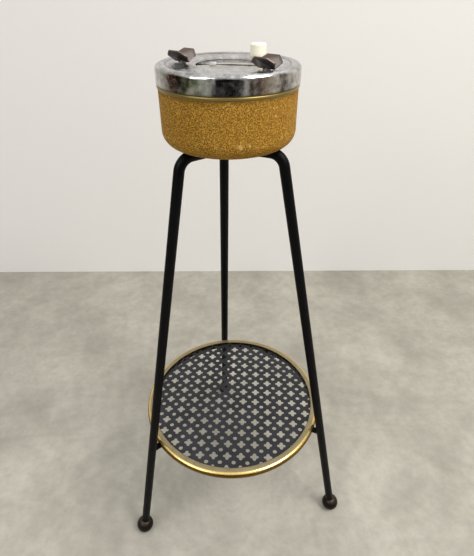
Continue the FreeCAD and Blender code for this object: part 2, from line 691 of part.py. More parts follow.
def button_stem():
    stem = disc(STEM_DIAMETER / 2, CLIP_BOTTOM - STEM_PAST_CLIP, BUTTON_BOTTOM + STEM_IN_BUTTON)
    return at_button(stem)


def button_bridge():
    """A strap under the lid that guides the stem and carries the return spring."""
    inner = FLANGE_RADIUS + BRIDGE_CLEARANCE
    outer = inner + BRIDGE_METAL
    half = BRIDGE_WIDTH / 2
    top = -LID_WALL
    strap = block((-half, -outer, BRIDGE_BOTTOM), (half, outer, BRIDGE_TOP_FACE))
    for side in (-1, 1):
        near, far = sorted((side * inner, side * outer))
        strap = strap.fuse(block((-half, near, BRIDGE_BOTTOM), (half, far, top)))
        near, far = sorted((side * inner, side * (outer + BRIDGE_FOOT_LENGTH)))
        strap = strap.fuse(block((-half, near, top - BRIDGE_METAL), (half, far, top)))
    hole = disc(STEM_DIAMETER / 2 + STEM_CLEARANCE, BRIDGE_BOTTOM, BRIDGE_TOP_FACE)
    return at_button(strap.cut(hole).removeSplitter())


def return_spring():
    """The compression spring between the bridge and the button's flange."""
    spring = coil(SPRING_WIRE, SPRING_RADIUS, SPRING_TURNS, BUTTON_BOTTOM - BRIDGE_TOP_FACE)
    spring.translate(Vector(0, 0, BRIDGE_TOP_FACE))
    return at_button(spring)


def presser():
    """A bent strip on the stem: it runs under the bridge, up beside the trap and over both cranks."""
    seat = button_seat()
    web_near = PRESSER_WEB_POSITION
    web_far = PRESSER_WEB_POSITION + PRESSER_METAL
    boss = disc(PRESSER_BOSS_RADIUS, PRESSER_BOTTOM, PRESSER_TOP, (seat.x, seat.y))
    web_middle = Vector((FINGER_START + FINGER_END) / 2, web_far, 0)
    along = web_middle - Vector(seat.x, seat.y, 0)
    across = Vector(-along.y, along.x, 0)
    across.normalize()
    wide = across * PRESSER_BOSS_RADIUS
    corners = [
        seat + wide,
        Vector(FINGER_END, web_near, 0),
        Vector(FINGER_START, web_near, 0),
        seat - wide,
    ]
    if across.x < 0:
        corners[1], corners[2] = corners[2], corners[1]
    corners = [Vector(point.x, point.y, PRESSER_BOTTOM) for point in corners]
    strip = Part.Face(Part.makePolygon(corners + corners[:1])).extrude(Vector(0, 0, PRESSER_METAL))
    web = block((FINGER_START, web_near, PRESSER_BOTTOM), (FINGER_END, web_far, FINGER_BOTTOM + PRESSER_METAL))
    finger_reach = CRANK_REACH + PRESSER_PAST_CRANK
    finger = block((FINGER_START, -finger_reach, FINGER_BOTTOM), (FINGER_END, web_far, FINGER_BOTTOM + PRESSER_METAL))
    body = boss.fuse(strip).fuse(web).fuse(finger)
    hole = disc(STEM_DIAMETER / 2, PRESSER_BOTTOM, PRESSER_TOP, (seat.x, seat.y))
    return body.cut(hole).removeSplitter()


def stem_clip():
    """The clip that holds the presser on the stem."""
    return at_button(ring(CLIP_RADIUS, STEM_DIAMETER / 2, CLIP_BOTTOM, PRESSER_BOTTOM))


# ---------------------------------------------------------------- cigarette rests
def rest_frame(shape, end):
    """Moves a shape from a rest's own frame, with the fold along X, to its seat on the lid."""
    placed = shape.copy()
    placed.rotate(Vector(0, 0, 0), Vector(0, 0, 1), REST_VALLEY_AZIMUTH)
    placed.translate(polar(*REST_SEATS[end]))
    return placed


def fold_middle():
    """Height of the centre of the fold's round, above the lid's field."""
    return SADDLE_HEIGHT + REST_VALLEY_OUTER_RADIUS


def rest_wing():
    """One leaf of a rest: a six-sided plate with rounded corners that rises from the fold."""
    rise = math.radians(REST_WING_RISE)
    fold_end = REST_VALLEY_OUTER_RADIUS * math.tan(rise)
    meeting_height = fold_middle() - REST_VALLEY_OUTER_RADIUS / math.cos(rise)
    half_fold = REST_VALLEY_LENGTH / 2
    half_longest = REST_WING_LENGTH / 2
    half_edge = REST_EDGE_LENGTH / 2
    outline = [
        Vector(-half_fold, fold_end, 0),
        Vector(half_fold, fold_end, 0),
        Vector(half_longest, REST_WING_LONGEST_AT, 0),
        Vector(half_edge, REST_WING_WIDTH, 0),
        Vector(-half_edge, REST_WING_WIDTH, 0),
        Vector(-half_longest, REST_WING_LONGEST_AT, 0),
    ]
    leaf = Part.Face(Part.makePolygon(outline + outline[:1])).extrude(Vector(0, 0, REST_METAL))
    corners = [edge for edge in leaf.Edges
               if abs(edge.Vertexes[0].Z - edge.Vertexes[-1].Z) > REST_METAL / 2
               and edge.Vertexes[0].Y > fold_end + 1e-3]
    leaf = leaf.makeFillet(REST_CORNER_RADIUS, corners)
    leaf.rotate(Vector(0, 0, 0), Vector(1, 0, 0), REST_WING_RISE)
    leaf.translate(Vector(0, 0, meeting_height))
    return leaf


def rest_blank():
    """Both leaves and the rounded fold between them, in the rest's own frame."""
    middle = (0.0, fold_middle())

    def lift(point):
        return (-REST_VALLEY_LENGTH / 2, point[0], point[1])

    from_angle = -90 - REST_WING_RISE
    to_angle = -90 + REST_WING_RISE
    fold = closed_face(lift(arc_point(middle, REST_VALLEY_OUTER_RADIUS, from_angle)), [
        (lift(arc_point(middle, REST_VALLEY_OUTER_RADIUS, -90)),
         lift(arc_point(middle, REST_VALLEY_OUTER_RADIUS, to_angle))),
        (lift(arc_point(middle, REST_VALLEY_RADIUS, to_angle)),),
        (lift(arc_point(middle, REST_VALLEY_RADIUS, -90)),
         lift(arc_point(middle, REST_VALLEY_RADIUS, from_angle))),
    ]).extrude(Vector(REST_VALLEY_LENGTH, 0, 0))
    back = rest_wing()
    front = back.mirror(Vector(0, 0, 0), Vector(0, 1, 0))
    return fold.fuse(back).fuse(front).removeSplitter()


def rivet_head_top():
    return fold_middle() - REST_VALLEY_RADIUS + RIVET_HEAD_HEIGHT


def rest(end):
    """A folded cradle for one cigarette, with a hole for its rivet."""
    hole = disc(RIVET_DIAMETER / 2, 0.0, rivet_head_top())
    return rest_frame(rest_blank().cut(hole), end)


def rest_saddle(end):
    """A washer hollowed to fit the underside of the fold."""
    fold_bar = bar_along_x(REST_VALLEY_OUTER_RADIUS, -REST_VALLEY_LENGTH, REST_VALLEY_LENGTH,
                           0, fold_middle())
    saddle = ring(SADDLE_DIAMETER / 2, RIVET_DIAMETER / 2, 0.0, SADDLE_HEIGHT + SADDLE_WRAP)
    return rest_frame(saddle.cut(fold_bar), end)


def rest_rivet(end):
    """A rivet from the fold down through the saddle and the lid."""
    head_top = rivet_head_top()
    head = disc(RIVET_HEAD_DIAMETER / 2, head_top - RIVET_HEAD_HEIGHT, head_top).cut(rest_blank())
    shank = disc(RIVET_DIAMETER / 2, -LID_WALL, head_top)
    tail = disc(RIVET_HEAD_DIAMETER / 2, -LID_WALL - RIVET_HEAD_HEIGHT, -LID_WALL)
    return rest_frame(shank.fuse(head).fuse(tail).removeSplitter(), end)


# ---------------------------------------------------------------- every node
def nodes():
    """Each sub-part by the name of its node."""
    parts = {}
    for name, azimuth in LEG_AZIMUTHS.items():
        parts["leg_" + name] = leg(azimuth)
        parts["foot_" + name] = foot(azimuth)
    parts["leg_hub"] = leg_hub()
    parts["shelf_sheet"] = shelf_sheet()
    parts["shelf_rim"] = shelf_rim()
    parts["shelf_lugs"] = together([shelf_lug(azimuth) for azimuth in LEG_AZIMUTHS.values()])
    parts["bowl"] = bowl()
    parts["bowl_screw"] = bowl_screw()
    parts["bowl_washer"] = bowl_washer()
    parts["hub_washer"] = hub_washer()
    parts["hub_nut"] = hub_nut()

    parts["lid_shell"] = on_lid(lid_shell())
    for end in REST_SEATS:
        parts["rest_" + end] = on_lid(rest(end))
    parts["rest_saddles"] = together([on_lid(rest_saddle(end)) for end in REST_SEATS])
    parts["rest_rivets"] = together([on_lid(rest_rivet(end)) for end in REST_SEATS])
    parts["hinge_bracket_left"] = on_lid(hinge_bracket("left"))
    parts["hinge_bracket_right"] = on_lid(hinge_bracket("right"))
    parts["hinge_pin"] = on_lid(hinge_pin())
    parts["flap_spring"] = on_lid(flap_spring())
    parts["button_bridge"] = on_lid(button_bridge())
    parts["return_spring"] = on_lid(return_spring())

    for name, side in (("front", -1), ("back", 1)):
        parts["flap_" + name] = on_lid(flap(side))
        parts["crank_pin_" + name] = on_lid(crank_pin(side))

    parts["button"] = on_lid(button())
    parts["button_stem"] = on_lid(button_stem())
    parts["presser"] = on_lid(presser())
    parts["stem_clip"] = on_lid(stem_clip())
    return parts


os.makedirs("parts", exist_ok=True)
for node, shape in nodes().items():
    if not shape.isValid():
        raise ValueError(node + " is not a valid shape")
    shape.exportStep("parts/" + node + ".step")
    print(node, "solids", len(shape.Solids), "volume", round(shape.Volume, 1))
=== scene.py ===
# %% [markdown]
# # A push-button standing ashtray
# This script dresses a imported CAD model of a 1950s floor-standing ashtray. The CAD holds every
# part where the maker put it. The script adds what a CAD model leaves out: the small roundings,
# the perforated sheet's soft punched edges, the dents in the lid and the look of each metal.
#
# The frame is in metres: the origin is on the floor between the feet and +Z is up.

import math

import bmesh
import bpy
import json
from mathutils import Matrix, Vector
from mathutils import noise as mathutils_noise


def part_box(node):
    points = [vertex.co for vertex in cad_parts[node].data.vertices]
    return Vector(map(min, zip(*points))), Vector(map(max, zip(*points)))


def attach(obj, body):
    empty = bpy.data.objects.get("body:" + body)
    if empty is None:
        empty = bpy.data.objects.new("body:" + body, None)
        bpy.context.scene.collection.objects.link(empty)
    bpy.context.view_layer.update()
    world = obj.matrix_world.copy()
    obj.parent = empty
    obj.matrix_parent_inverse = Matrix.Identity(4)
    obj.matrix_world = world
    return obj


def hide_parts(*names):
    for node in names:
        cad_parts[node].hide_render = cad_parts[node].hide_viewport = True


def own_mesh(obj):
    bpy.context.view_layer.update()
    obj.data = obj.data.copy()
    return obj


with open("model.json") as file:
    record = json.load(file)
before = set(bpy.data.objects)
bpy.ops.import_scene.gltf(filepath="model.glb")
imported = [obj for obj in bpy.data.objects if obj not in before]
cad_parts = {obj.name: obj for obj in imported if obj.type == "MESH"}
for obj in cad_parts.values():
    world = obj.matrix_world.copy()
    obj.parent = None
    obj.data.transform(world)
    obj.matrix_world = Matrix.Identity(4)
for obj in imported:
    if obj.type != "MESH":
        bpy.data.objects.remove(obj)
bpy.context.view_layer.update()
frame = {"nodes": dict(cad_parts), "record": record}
nodes = frame["nodes"]

MM = 0.001


# %% [markdown]
# ## Colour
# Colours are written as the sRGB hex codes that a colour picker shows. Blender's shaders work in
# linear light, so one function does the conversion.

# %%
def linear(hex_code):
    """An sRGB hex code as linear (r, g, b, 1)."""
    channels = [int(hex_code[i:i + 2], 16) / 255 for i in (1, 3, 5)]
    lit = [c / 12.92 if c <= 0.04045 else ((c + 0.055) / 1.055) ** 2.4 for c in channels]
    return tuple(lit) + (1.0,)


# %% [markdown]
# ## Node trees in a few words
# `add` puts one node in a tree with its settings and its inputs. An input is either a value or the
# output socket of another node, which then gets linked. Everything below is built with it.

# %%
def add(tree, kind, inputs=None, **settings):
    """One node in a tree. inputs maps a socket's name or number to a value or to an output socket."""
    node = tree.nodes.new(kind)
    for name, value in settings.items():
        setattr(node, name, value)
    for key, value in (inputs or {}).items():
        socket = node.inputs[key]
        if isinstance(value, bpy.types.NodeSocket):
            tree.links.new(value, socket)
        else:
            socket.default_value = value
    return node


def new_material(name):
    """An empty material: (material, its tree, the shader, object coordinates)."""
    material = bpy.data.materials.new(name)
    material.use_nodes = True
    tree = material.node_tree
    tree.nodes.clear()
    shader = add(tree, "ShaderNodeBsdfPrincipled")
    add(tree, "ShaderNodeOutputMaterial", {"Surface": shader.outputs["BSDF"]})
    place = add(tree, "ShaderNodeTexCoord").outputs["Object"]
    return material, tree, shader, place


def noise(tree, place, scale, detail=3.0, roughness=0.5):
    """Fractal noise from 0 to 1."""
    inputs = {"Vector": place, "Scale": scale, "Detail": detail, "Roughness": roughness}
    return add(tree, "ShaderNodeTexNoise", inputs).outputs["Fac"]


def stretch(tree, value, low, high, to_low=0.0, to_high=1.0):
    """Maps low..high to to_low..to_high, and holds the ends."""
    return add(tree, "ShaderNodeMapRange", {"Value": value, "From Min": low, "From Max": high,
                                            "To Min": to_low, "To Max": to_high}).outputs["Result"]


def mix(tree, share, first, second):
    """Blends two colours."""
    node = add(tree, "ShaderNodeMix", {0: share, 6: first, 7: second}, data_type="RGBA")
    return node.outputs[2]


def calc(tree, operation, first, second=0.0):
    """One sum."""
    return add(tree, "ShaderNodeMath", {0: first, 1: second}, operation=operation).outputs[0]


def height_of(tree, place):
    """A point's height above the floor."""
    return add(tree, "ShaderNodeSeparateXYZ", {"Vector": place}).outputs["Z"]


def distance_from_axis(tree, place):
    """A point's distance from the stand's axis."""
    axes = add(tree, "ShaderNodeSeparateXYZ", {"Vector": place}).outputs
    squares = [calc(tree, "MULTIPLY", axes[name], axes[name]) for name in "XY"]
    return calc(tree, "SQRT", calc(tree, "ADD", *squares))


def bump(tree, shader, height, depth):
    """Gives the shader a relief of that depth in metres."""
    node = add(tree, "ShaderNodeBump", {"Height": height, "Distance": depth, "Strength": 1.0})
    tree.links.new(node.outputs["Normal"], shader.inputs["Normal"])


def set_inputs(tree, shader, **values):
    """Sets or links the shader's own sockets by their names with underscores for spaces."""
    for name, value in values.items():
        socket = shader.inputs[name.replace("_", " ")]
        if isinstance(value, bpy.types.NodeSocket):
            tree.links.new(value, socket)
        else:
            socket.default_value = value


# %% [markdown]
# ## The metals and the plastic
# **Black lacquer** on the rods is satin, with faint vertical rubs where the steel shows through.

# %%
def black_lacquer():
    material, tree, shader, place = new_material("black_lacquer")
    cloud = noise(tree, place, 60.0, 4.0)
    upright = add(tree, "ShaderNodeMapping", {"Vector": place, "Scale": (1.0, 1.0, 0.12)}).outputs[0]
    rubs = noise(tree, upright, 420.0, 5.0, 0.65)
    worn = stretch(tree, rubs, 0.69, 0.76)
    base = mix(tree, cloud, linear("#040405"), linear("#09090b"))
    colour = mix(tree, worn, base, linear("#262523"))
    set_inputs(tree, shader, Base_Color=colour, Roughness=stretch(tree, cloud, 0.3, 0.7, 0.34, 0.5),
               Specular_IOR_Level=0.1)
    bump(tree, shader, rubs, 0.03 * MM)
    return material


# %% [markdown]
# ** Aged brass** on the ball feet has gone nearly black. The top of each ball, where the rod
# enters, is painted a little lighter: a painted highlight from the light above.

# %%
def aged_brass():
    material, tree, shader, place = new_material("aged_brass")
    height = height_of(tree, place)
    # Painted highlight: the top of each ball is painted lighter.
    top = stretch(tree, height, 17.0 * MM, 21.5 * MM)
    patch = noise(tree, place, 160.0, 5.0, 0.6)
    dark = mix(tree, patch, linear("#0c0704"), linear("#1a1108"))
    light = mix(tree, patch, linear("#2c2219"), linear("#4a3d30"))
    set_inputs(tree, shader, Base_Color=mix(tree, top, dark, light), Metallic=0.3,
               Roughness=stretch(tree, patch, 0.3, 0.7, 0.34, 0.5), Specular_IOR_Level=0.22)
    bump(tree, shader, patch, 0.05 * MM)
    return material


# %% [markdown]
# ** Shelf brass.** The flat top of the rim is dull and dusty. The corner beside it is painted bright, a
# painted highlight, and the round below is painted from gold to brown, a painted dark reflection. The wall
# that faces the sheet is painted nearly black, a painted shadow in the gap above the sheet. A point's
# height and its distance from the axis tell these apart. Fine crimping marks run round the top.

# %%
def shelf_brass(rim_top, rim_bottom, rim_inner):
    material, tree, shader, place = new_material("shelf_brass")
    axes = add(tree, "ShaderNodeSeparateXYZ", {"Vector": place}).outputs
    height = axes["Z"]
    away = distance_from_axis(tree, place)
    bearing = calc(tree, "ARCTAN2", axes["Y"], axes["X"])
    crimps = calc(tree, "MULTIPLY", calc(tree, "SINE", calc(tree, "MULTIPLY", bearing, 260.0)),
                  stretch(tree, away, rim_inner + 3.5 * MM, rim_inner + 1.5 * MM))
    patch = noise(tree, place, 70.0, 5.0, 0.62)
    fine = noise(tree, place, 900.0, 3.0)
    flat = stretch(tree, height, rim_top - 0.35 * MM, rim_top - 0.1 * MM)
    # Painted highlight: the corner just below the flat top is painted near white-gold.
    painted_highlight = stretch(tree, height, rim_top - 2.4 * MM, rim_top - 1.2 * MM)
    # Painted dark reflection: the lower part of the round is painted brown.
    painted_low_shade = stretch(tree, height, rim_bottom + 5.0 * MM, rim_bottom + 1.5 * MM)
    highlight_tone = mix(tree, patch, linear("#dfb75e"), linear("#f3d890"))
    gold = mix(tree, patch, linear("#5f4512"), linear("#86651f"))
    shade_brown = mix(tree, patch, linear("#281b09"), linear("#433010"))
    dusty = mix(tree, patch, linear("#857a5e"), linear("#ada180"))
    dusty = mix(tree, stretch(tree, crimps, 0.2, 1.0, 0.0, 0.4), dusty, linear("#3f321c"))
    colour = mix(tree, painted_low_shade, mix(tree, painted_highlight, gold, highlight_tone), shade_brown)
    colour = mix(tree, flat, colour, dusty)
    # Painted shadow: the wall facing the sheet is painted nearly black, for the shaded gap above the sheet.
    painted_gap_shadow = stretch(tree, away, rim_inner + 0.5 * MM, rim_inner + 0.2 * MM)
    colour = mix(tree, calc(tree, "MULTIPLY", painted_gap_shadow, 0.9), colour, linear("#1d1810"))
    spots = stretch(tree, noise(tree, place, 240.0, 5.0, 0.7), 0.62, 0.7)
    colour = mix(tree, calc(tree, "MULTIPLY", spots, 0.7), colour, linear("#3b2a12"))
    rough = calc(tree, "ADD", stretch(tree, fine, 0.3, 0.7, 0.16, 0.3), calc(tree, "MULTIPLY", flat, 0.24))
    set_inputs(tree, shader, Base_Color=colour, Metallic=0.92, Roughness=rough)
    bump(tree, shader, calc(tree, "ADD", fine, calc(tree, "MULTIPLY", crimps, 0.8)), 0.04 * MM)
    return material


# %% [markdown]
# **Shelf black** is thin, slightly bluish paint on punched steel.

# %%
def shelf_black():
    material, tree, shader, place = new_material("shelf_black")
    cloud = noise(tree, place, 45.0, 5.0, 0.6)
    colour = mix(tree, stretch(tree, cloud, 0.35, 0.7), linear("#191a1e"), linear("#26272c"))
    set_inputs(tree, shader, Base_Color=colour, Roughness=stretch(tree, cloud, 0.3, 0.7, 0.4, 0.56),
               Specular_IOR_Level=0.35)
    bump(tree, shader, noise(tree, place, 500.0, 3.0), 0.03 * MM)
    return material


# %% [markdown]
# **Gold lacquer** on the bowl is a crackle finish: pale flecks on darker ground. Voronoi cells give
# the flecks and noise breaks them up. A few chips show pale metal, low on the front and under the bead.
# The bead and the neck above it are smooth, so the crackle fades out there. Just under the bead the
# wall is painted darker, a painted shadow of the bead.

# %%
def gold_lacquer(bead_low, chips):
    material, tree, shader, place = new_material("gold_lacquer")
    height = height_of(tree, place)
    warped = noise(tree, place, 820.0, 4.0, 0.65)
    cells = add(tree, "ShaderNodeTexVoronoi", {"Vector": place, "Scale": 950.0, "Randomness": 1.0},
                feature="F1").outputs["Distance"]
    grain = calc(tree, "ADD", calc(tree, "MULTIPLY", warped, 0.6), calc(tree, "MULTIPLY", cells, 0.55))
    broad = noise(tree, place, 34.0, 4.0, 0.6)
    dark = mix(tree, broad, linear("#60420e"), linear("#6e4d15"))
    light = mix(tree, broad, linear("#b98732"), linear("#d6a750"))
    colour = mix(tree, stretch(tree, grain, 0.4, 0.78), dark, light)
    smooth = stretch(tree, height, bead_low - 0.4 * MM, bead_low + 0.2 * MM)
    bead_tone = mix(tree, broad, linear("#7c6a3c"), linear("#a08c56"))
    colour = mix(tree, smooth, colour, bead_tone)
    # Painted shadow: a dark band on the wall just under the bead.
    painted_bead_shadow = calc(tree, "MULTIPLY", stretch(tree, height, bead_low - 3.2 * MM, bead_low - 0.2 * MM),
                  calc(tree, "SUBTRACT", 1.0, smooth))
    colour = mix(tree, calc(tree, "MULTIPLY", painted_bead_shadow, 0.55), colour, linear("#54390f"))
    breakup = noise(tree, place, 520.0, 5.0, 0.75)
    from_under_bead = calc(tree, "ABSOLUTE", calc(tree, "SUBTRACT", height, bead_low - 1.0 * MM))
    worn = calc(tree, "MULTIPLY", stretch(tree, from_under_bead, 0.7 * MM, 0.3 * MM),
                stretch(tree, breakup, 0.58, 0.63))
    for centre, reach in chips:
        distance = add(tree, "ShaderNodeVectorMath", {0: place, 1: centre}, operation="DISTANCE")
        near = stretch(tree, distance.outputs["Value"], reach, reach * 0.2)
        spot = stretch(tree, calc(tree, "MULTIPLY", near, breakup), 0.39, 0.43)
        worn = calc(tree, "MAXIMUM", spot, worn)
    colour = mix(tree, calc(tree, "MULTIPLY", worn, 0.85), colour, linear("#c9ab6c"))
    set_inputs(tree, shader, Base_Color=colour, Metallic=stretch(tree, smooth, 0.0, 1.0, 0.12, 0.7),
               Roughness=stretch(tree, smooth, 0.0, 1.0, 0.66, 0.36), Specular_IOR_Level=0.06)
    relief = calc(tree, "MULTIPLY", grain, calc(tree, "SUBTRACT", 1.0, smooth))
    bump(tree, shader, relief, 0.16 * MM)
    return material


# %% [markdown]
# ** Lid chrome** is old plate. The skirt still mirrors the room in broad waves, and the flat top has
# gone grey, cloudy and streaked, with fine pits. A dark line at the foot of the crest is painted shade,
# and the skirt's lower edge is painted darker, a painted shade and reflection over the bowl's bead. The
# same material serves the trap flaps.

# %%
CREST_FOOT_RADIUS = 51.6 * MM


def lid_chrome(field, skirt_low):
    material, tree, shader, place = new_material("lid_chrome")
    height = height_of(tree, place)
    top = stretch(tree, height, field - 1.2 * MM, field - 0.4 * MM)
    cloud = noise(tree, place, 48.0, 5.0, 0.62)
    pits = stretch(tree, noise(tree, place, 620.0, 4.0, 0.7), 0.6, 0.74)
    away = distance_from_axis(tree, place)
    drawn = add(tree, "ShaderNodeMapping", {"Vector": place, "Rotation": (0.0, 0.0, 0.5),
                                            "Scale": (1.0, 0.22, 1.0)}).outputs[0]
    streaks = noise(tree, drawn, 170.0, 5.0, 0.68)
    mottle = noise(tree, place, 150.0, 5.0, 0.66)
    plate = mix(tree, stretch(tree, mottle, 0.36, 0.64), linear("#8c8985"), linear("#cfccc8"))
    grey = mix(tree, stretch(tree, cloud, 0.36, 0.64), linear("#a2a3a7"), linear("#dcdcdd"))
    grey = mix(tree, stretch(tree, streaks, 0.42, 0.62, 0.0, 0.6), grey, linear("#7e7f83"))
    colour = mix(tree, calc(tree, "MULTIPLY", top, 0.8), plate, grey)
    colour = mix(tree, calc(tree, "MULTIPLY", pits, 0.45), colour, linear("#4f4a45"))
    from_ring = calc(tree, "ABSOLUTE", calc(tree, "SUBTRACT", away, CREST_FOOT_RADIUS))
    # Painted shade: a dark line at the foot of the crest.
    painted_crest_shade = calc(tree, "MULTIPLY", stretch(tree, from_ring, 0.9 * MM, 0.3 * MM), top)
    colour = mix(tree, calc(tree, "MULTIPLY", painted_crest_shade, 0.7), colour, linear("#3b3835"))
    # Painted shade: the skirt is painted darker and browner towards its lower edge, over the bead.
    painted_skirt_foot_shade = stretch(tree, height, skirt_low + 1.6 * MM, skirt_low)
    colour = mix(tree, calc(tree, "MULTIPLY", painted_skirt_foot_shade, 0.5), colour, linear("#5a5040"))
    rough = calc(tree, "ADD", stretch(tree, mottle, 0.36, 0.66, 0.08, 0.26),
                 calc(tree, "MULTIPLY", top, stretch(tree, cloud, 0.36, 0.64, 0.03, 0.2)))
    set_inputs(tree, shader, Base_Color=colour, Metallic=1.0, Roughness=rough)
    ripples = calc(tree, "MULTIPLY", noise(tree, place, 110.0, 2.0), 0.16)
    waves = calc(tree, "ADD", noise(tree, place, 26.0, 2.0), ripples)
    bump(tree, shader, calc(tree, "ADD", waves, calc(tree, "MULTIPLY", pits, 0.01)), 1.5 * MM)
    return material


# %% [markdown]
# ** Rest metal** is dark grey outside. Inside the fold, the faces that turn up are painted lighter and
# browner, painted light from above. A face's direction tells the two apart, and the bevelled corners of
# the mesh are a little lighter.

# %%
def rest_metal():
    material, tree, shader, place = new_material("rest_metal")
    patch = noise(tree, place, 120.0, 5.0, 0.62)
    edge = stretch(tree, add(tree, "ShaderNodeNewGeometry").outputs["Pointiness"], 0.52, 0.6)
    facing = add(tree, "ShaderNodeSeparateXYZ", {
        "Vector": add(tree, "ShaderNodeTexCoord").outputs["Normal"]}).outputs["Z"]
    blotch = stretch(tree, patch, 0.35, 0.65)
    outside = mix(tree, blotch, linear("#131213"), linear("#383534"))
    inside = mix(tree, blotch, linear("#33231f"), linear("#684f47"))
    # Painted light: faces that turn up are given the lighter, browner tone.
    base = mix(tree, stretch(tree, facing, -0.1, 0.3), outside, inside)
    rust = stretch(tree, noise(tree, place, 300.0, 4.0, 0.7), 0.6, 0.7)
    colour = mix(tree, rust, base, linear("#4a3326"))
    colour = mix(tree, edge, colour, linear("#8f8680"))
    set_inputs(tree, shader, Base_Color=colour, Metallic=0.7,
               Roughness=stretch(tree, patch, 0.3, 0.7, 0.28, 0.46))
    bump(tree, shader, patch, 0.12 * MM)
    return material


# %% [markdown]
# ** Cream plastic** has yellowed, and it is darker and browner towards its foot at the lid.

# %%
def cream_plastic(low):
    material, tree, shader, place = new_material("cream_plastic")
    height = height_of(tree, place)
    # Darker and browner within 3 mm of the lid.
    toward_lid = stretch(tree, height, low + 3.0 * MM, low)
    patch = noise(tree, place, 240.0, 4.0, 0.6)
    colour = mix(tree, patch, linear("#f6ecce"), linear("#fdf8e8"))
    darker_toward_lid = calc(tree, "MULTIPLY", toward_lid, calc(tree, "MULTIPLY", patch, 0.9))
    colour = mix(tree, darker_toward_lid, colour, linear("#a68c55"))
    set_inputs(tree, shader, Base_Color=colour, Roughness=0.32, Subsurface_Weight=0.08,
               Subsurface_Radius=(0.004, 0.003, 0.0015))
    return material


# %% [markdown]
# **Plain steel** is for the fastenings and the works under the lid, in two tones.

# %%
def plain_steel(name, tone, roughness):
    material, tree, shader, place = new_material(name)
    patch = noise(tree, place, 300.0, 3.0)
    colour = mix(tree, patch, linear(tone), linear("#c8c6c0"))
    set_inputs(tree, shader, Base_Color=colour, Metallic=1.0, Roughness=roughness)
    return material


# %% [markdown]
# ## Sizes read from the frame
# A few looks follow a height on the object, so they ask the CAD where it is.

# %%
LID_WALL = 0.8 * MM
RIM_WIDTH = 9.5 * MM
BEAD_BELOW_EDGE = 11.0 * MM       # the bowl's edge to the bead's lower side

rim_low, rim_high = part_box("shelf_rim")
lid_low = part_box("lid_shell")[0]
bowl_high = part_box("bowl")[1]
bridge_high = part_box("button_bridge")[1]
LID_FIELD = bridge_high.z + LID_WALL
BEAD_LOW = bowl_high.z - BEAD_BELOW_EDGE
RIM_INNER = rim_high.x - RIM_WIDTH
CHIPS = [
    (Vector((10.9, -58.2, 533.3)) * MM, 3.2 * MM),
    (Vector((3.5, -59.0, 532.6)) * MM, 5.5 * MM),
    (Vector((32.1, -49.7, 553.2)) * MM, 3.0 * MM),
    (Vector((30.0, -51.0, 559.5)) * MM, 2.6 * MM),
    (Vector((38.9, -44.6, 535.2)) * MM, 3.0 * MM),
]

MATERIALS = {
    "black_lacquer": black_lacquer(),
    "aged_brass": aged_brass(),
    "shelf_brass": shelf_brass(rim_high.z, rim_low.z, RIM_INNER),
    "shelf_black": shelf_black(),
    "gold_lacquer": gold_lacquer(BEAD_LOW, CHIPS),
    "lid_chrome": lid_chrome(LID_FIELD, lid_low.z),
    "rest_metal": rest_metal(),
    "cream_plastic": cream_plastic(LID_FIELD),
    "plated_steel": plain_steel("plated_steel", "#8d8c88", 0.34),
    "spring_steel": plain_steel("spring_steel", "#6d6e72", 0.28),
}


# %% [markdown]
# ## Finished meshes
# Every finished piece is a plain mesh whose object sits at the origin, so its vertices are its place.
# `finish_piece` gives it the record's material slot of the CAD nodes it stands for, hangs it on the
# body it rides on and hides those nodes.

# %%
SLOTS = {entry["node"]: entry["material_slot"] for entry in frame["record"]["subparts"]}
BODY_OF = {node: body for body, names in frame["record"]["behaviour"]["bodies"].items() for node in names}


def paint(mesh, material_name):
    mesh.materials.clear()
    mesh.materials.append(MATERIALS[material_name])


def finish_piece(obj, *replaced):
    """Paints a piece like the CAD nodes it stands for and hands it to their body."""
    slot = SLOTS[replaced[0]]
    paint(obj.data, slot)
    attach(obj, BODY_OF[replaced[0]])
    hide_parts(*replaced)
    return obj


def new_object(name, mesh):
    obj = bpy.data.objects.new(name, mesh)
    bpy.context.scene.collection.objects.link(obj)
    return obj


def mesh_from(name, fill):
    """A mesh filled by a function that gets an empty bmesh."""
    work = bmesh.new()
    fill(work)
    mesh = bpy.data.meshes.new(name)
    work.to_mesh(mesh)
    work.free()
    return mesh


# %% [markdown]
# ### Softened edges
# CAD edges are perfectly sharp, and nothing real is. `softened` joins a CAD mesh's triangles into
# flat faces and bevels every edge that turns by more than 35 degrees.

# %%
def smooth_by_angle(mesh, degrees):
    """Smooth shading, with the sharp edges marked."""
    mesh.shade_smooth()
    mesh.set_sharp_from_angle(angle=math.radians(degrees))


def softened(node, width):
    """A copy of a CAD node with bevelled edges, in its place."""
    def fill(work):
        work.from_mesh(nodes[node].data)
        bmesh.ops.remove_doubles(work, verts=work.verts, dist=0.002 * MM)
        bmesh.ops.dissolve_limit(work, angle_limit=math.radians(0.5), verts=work.verts, edges=work.edges)
        sharp = [edge for edge in work.edges
                 if len(edge.link_faces) == 2 and edge.calc_face_angle(0.0) > math.radians(35)]
        bmesh.ops.bevel(work, geom=sharp, offset=width, offset_type="OFFSET", segments=2,
                        profile=0.5, affect="EDGES", clamp_overlap=True)
    mesh = mesh_from(node + "_soft", fill)
    smooth_by_angle(mesh, 30)
    return finish_piece(new_object(node + "_soft", mesh), node)


SOFT_EDGES = {
    "rest_left": 0.3, "rest_right": 0.3, "flap_front": 0.15, "flap_back": 0.15,
    "leg_hub": 0.8, "hub_nut": 0.3, "shelf_lugs": 0.5,
}
for node, width in SOFT_EDGES.items():
    softened(node, width * MM)


